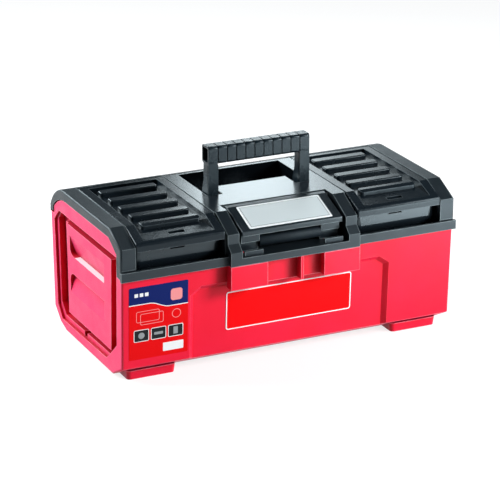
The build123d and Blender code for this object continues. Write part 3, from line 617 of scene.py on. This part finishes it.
def plate_mesh():
    """Closed plate: rings joined by bands of faces, with a face across the field and the back."""
    made = bmesh.new()
    rings = []
    for inset, height in PLATE_RINGS:
        rings.append([made.verts.new((x, y, height * MM)) for x, y in plate_ring(inset * MM)])
    for below, above in zip(rings, rings[1:]):
        for here in range(len(below)):
            following = (here + 1) % len(below)
            made.faces.new((below[here], below[following], above[following], above[here]))
    made.faces.new(rings[-1])
    made.faces.new(list(reversed(rings[0])))
    mesh = bpy.data.meshes.new("silver_plate")
    made.to_mesh(mesh)
    made.free()
    return mesh


def plate_metal():
    """Satin silver: brushed along X, brighter on its edge and with painted shade in its groove."""
    material, tree, shader = new_material("silver_plate")
    shader.inputs["Metallic"].default_value = SILVER_METALLIC
    metal = add_streaks(tree, shader, SILVER, SILVER_DEEP, SILVER_SHINE, SILVER_STREAKS)
    point = split(tree, place_on(tree))
    place = (point["X"], point["Y"])
    edge = outline(tree, place, CENTRE, PLATE_SIZE, PLATE_CORNER, GROOVE_INSET)["Line"]
    field = [length - 2 * GROOVE_INSET for length in PLATE_SIZE]
    groove = outline(tree, place, CENTRE, field, LEAST_CORNER, GROOVE_WIDTH)["Line"]
    colour = paint(tree, metal["Colour"], edge, SILVER_EDGE)
    # Painted shade in the groove
    tree.links.new(paint(tree, colour, groove, GROOVE_PAINTED_SHADE), shader.inputs["Base Color"])
    return material


plate_low, plate_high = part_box("latch_plate")
plate = bpy.data.objects.new("silver_plate", plate_mesh())
plate.data.materials.append(plate_metal())
plate.matrix_world = Matrix.Translation((plate_low + plate_high) / 2) @ Matrix.Rotation(PLATE_SLOPE, 4, "X")
bpy.context.scene.collection.objects.link(plate)
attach(plate, "latch")
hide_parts("latch_plate")

# Floor: a wide sheet of white studio paper that the box stands on.
# It glows for the camera and for reflections only, so it reads as white with no more light
# on the box, and it still takes the box's shadow.
FLOOR_HALF = 6.0
FLOOR_CORNERS = ((-1, -1), (1, -1), (1, 1), (-1, 1))
PAPER = (0.30, 0.30, 0.30, 1.0)
PAPER_ROUGHNESS = 0.9
PAPER_MIRROR = 0.1
PAPER_GLOW = 0.78
floor_mesh = bpy.data.meshes.new("floor")
floor_points = [(x * FLOOR_HALF, y * FLOOR_HALF, 0.0) for x, y in FLOOR_CORNERS]
floor_mesh.from_pydata(floor_points, [], [range(len(floor_points))])
floor = bpy.data.objects.new("floor", floor_mesh)
bpy.context.scene.collection.objects.link(floor)
paper, paper_tree, paper_shader = new_material("paper", PAPER_MIRROR)
paper_shader.inputs["Base Color"].default_value = PAPER
paper_shader.inputs["Roughness"].default_value = PAPER_ROUGHNESS
paper_shader.inputs["Emission Color"].default_value = PLAIN
path = node(paper_tree, "ShaderNodeLightPath").outputs
seen = calc(paper_tree, "MAXIMUM", path["Is Camera Ray"], path["Is Glossy Ray"])
seen = calc(paper_tree, "MAXIMUM", seen, path["Is Transmission Ray"])
paper_tree.links.new(calc(paper_tree, "MULTIPLY", seen, PAPER_GLOW), paper_shader.inputs["Emission Strength"])
floor_mesh.materials.append(paper)

# Studio light: a dim cool room, a soft key from the right front, a card on the floor beside it
# and a light behind the left end. The lid's polished top mirrors a panel at the rear. Two
# dimmer panels and a small lamp draw the right cover, the left band and the upper edges.
ROOM_TINT = (0.80, 0.93, 1.0, 1.0)
ROOM_STRENGTH = 0.07
LAMP_TINT = (0.95, 0.98, 1.0)
CARD_TINT = (0.90, 0.97, 1.0)
PANEL_TINT = (0.86, 0.96, 1.0)
world = bpy.data.worlds.new("studio")
bpy.context.scene.world = world
world.use_nodes = True
room = world.node_tree.nodes["Background"].inputs
room["Color"].default_value = ROOM_TINT
room["Strength"].default_value = ROOM_STRENGTH


def softbox(name, place, aim, size, watts, tint):
    """Hang a rectangular lamp, turned to the point it lights."""
    lamp = bpy.data.lights.new(name, "AREA")
    lamp.shape = "RECTANGLE"
    lamp.size, lamp.size_y = size
    lamp.energy = watts
    lamp.color = tint
    holder = bpy.data.objects.new(name, lamp)
    holder.location = place
    holder.rotation_euler = (Vector(aim) - Vector(place)).to_track_quat("-Z", "Y").to_euler()
    bpy.context.scene.collection.objects.link(holder)


softbox("key", place=(1.50, -1.25, 0.90), aim=(0.0, 0.0, 0.1),
        size=(0.7, 0.7), watts=59.0, tint=LAMP_TINT)
softbox("front card", place=(0.37, -0.47, 0.012), aim=(0.15, -0.1, 0.14),
        size=(0.30, 0.30), watts=3.3, tint=CARD_TINT)
softbox("end light", place=(-1.5, 0.9, 1.1), aim=(0.0, 0.0, 0.1),
        size=(0.9, 0.9), watts=51.0, tint=LAMP_TINT)
softbox("rear panel", place=(0.485, 1.042, 0.595), aim=(0.0, 0.0, 0.16),
        size=(0.19, 0.34), watts=1.40, tint=PANEL_TINT)
softbox("right panel", place=(0.635, 0.985, 0.595), aim=(0.12, 0.0, 0.16),
        size=(0.13, 0.34), watts=0.40, tint=PANEL_TINT)
softbox("band panel", place=(-0.50, 1.10, 0.66), aim=(-0.18, 0.0, 0.15),
        size=(0.40, 0.45), watts=8.0, tint=PANEL_TINT)
softbox("edge light", place=(0.50, 0.86, 0.91), aim=(0.0, 0.0, 0.16),
        size=(0.16, 0.16), watts=1.5, tint=PANEL_TINT)

# Camera: a long lens at the photograph's viewing angle, held level.
# It stands about 2.5 m from the box, in front of it and to its left, and looks down on it.
SENSOR_WIDTH = 36.0
FOCAL_LENGTH = 169.0
FAR_LIMIT = 50.0
EYE_PLACE = (-1.0282, -2.1631, 0.9630)
EYE_TURN = math.radians(25.36)
EYE_TILT = math.radians(20.06)
eye = bpy.data.cameras.new("camera")
eye.sensor_fit = "HORIZONTAL"
eye.sensor_width = SENSOR_WIDTH
eye.lens = FOCAL_LENGTH
eye.clip_end = FAR_LIMIT
view = bpy.data.objects.new("camera", eye)
view.location = EYE_PLACE
look = Vector((math.sin(EYE_TURN) * math.cos(EYE_TILT), math.cos(EYE_TURN) * math.cos(EYE_TILT),
               -math.sin(EYE_TILT)))
view.rotation_euler = look.to_track_quat("-Z", "Y").to_euler()
bpy.context.scene.collection.objects.link(view)
bpy.context.scene.camera = view
bpy.context.scene.view_settings.view_transform = "Standard"
